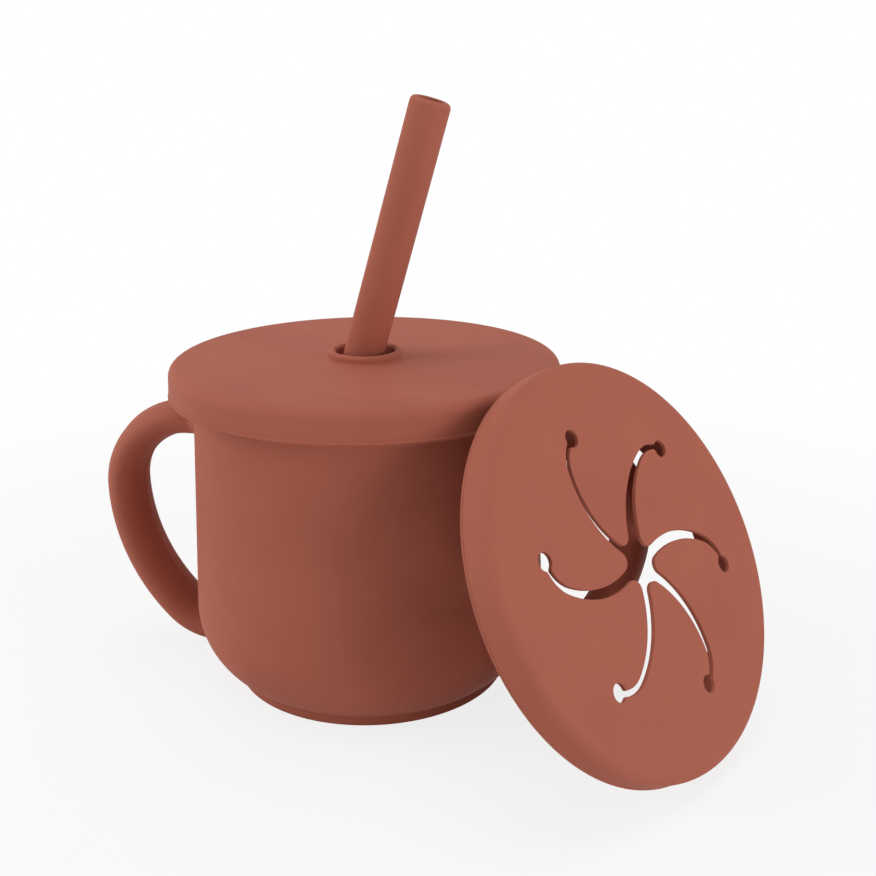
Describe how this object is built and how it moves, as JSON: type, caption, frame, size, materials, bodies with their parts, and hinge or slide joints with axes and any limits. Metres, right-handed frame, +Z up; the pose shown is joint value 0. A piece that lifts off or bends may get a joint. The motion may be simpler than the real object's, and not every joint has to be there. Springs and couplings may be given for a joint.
{
  "type": "child's silicone cup",
  "caption": "Round silicone cup with two ear handles, a straw lid with its straw, and a snack lid whose curved flaps let a hand in, leaning on the cup.",
  "frame": {"origin": "middle of the cup's foot, on the ground", "axes": "+Z up along the cup's axis, handles along X, snack lid on the side of +X"},
  "size_m": [0.1616, 0.1127, 0.137],
  "materials": {
    "silicone": "matte terracotta silicone"
  },
  "bodies": {
    "cup": {"cup": "silicone"},
    "straw_lid": {"straw_lid": "silicone"},
    "straw": {"straw": "silicone"},
    "snack_lid": {"snack_lid": "silicone"},
    "flap_1": {"flap_1": "silicone"},
    "flap_2": {"flap_2": "silicone"},
    "flap_3": {"flap_3": "silicone"},
    "flap_4": {"flap_4": "silicone"},
    "flap_5": {"flap_5": "silicone"},
    "flap_6": {"flap_6": "silicone"}
  },
  "joints": [
    {"name": "straw_lid_lift", "type": "slide", "parent": "cup", "child": "straw_lid", "axis": [0, 0, 1], "range_m": [0, 0.08]},
    {"name": "straw_slide", "type": "slide", "parent": "straw_lid", "child": "straw", "axis": [0.279, 0, 0.9603], "range_m": [0, 0.14]},
    {"name": "snack_lid_lift", "type": "slide", "parent": "straw_lid", "child": "snack_lid", "axis": [0.7861, -0.3834, 0.4848], "range_m": [0, 0.08]},
    {"name": "flap_1_bend", "type": "hinge", "parent": "snack_lid", "child": "flap_1", "pos_m": [0.05996, -0.01342, 0.06449], "axis": [0.5559, 0.7815, -0.2833], "range_deg": [-70, 70], "stiffness_Nm_per_rad": 0.01},
    {"name": "flap_2_bend", "type": "hinge", "parent": "snack_lid", "child": "flap_2", "pos_m": [0.05108, -0.03709, 0.06018], "axis": [0.0439, 0.817, 0.575], "range_deg": [-70, 70], "stiffness_Nm_per_rad": 0.01},
    {"name": "flap_3_bend", "type": "hinge", "parent": "snack_lid", "child": "flap_3", "pos_m": [0.05801, -0.04972, 0.03895], "axis": [-0.512, 0.0355, 0.8583], "range_deg": [-70, 70], "stiffness_Nm_per_rad": 0.01},
    {"name": "flap_4_bend", "type": "hinge", "parent": "snack_lid", "child": "flap_4", "pos_m": [0.07383, -0.03867, 0.02204], "axis": [-0.5559, -0.7815, 0.2833], "range_deg": [-70, 70], "stiffness_Nm_per_rad": 0.01},
    {"name": "flap_5_bend", "type": "hinge", "parent": "snack_lid", "child": "flap_5", "pos_m": [0.08271, -0.01499, 0.02636], "axis": [-0.0439, -0.817, -0.575], "range_deg": [-70, 70], "stiffness_Nm_per_rad": 0.01},
    {"name": "flap_6_bend", "type": "hinge", "parent": "snack_lid", "child": "flap_6", "pos_m": [0.07578, -0.00237, 0.04759], "axis": [0.512, -0.0355, -0.8583], "range_deg": [-70, 30], "stiffness_Nm_per_rad": 0.01}
  ]
}
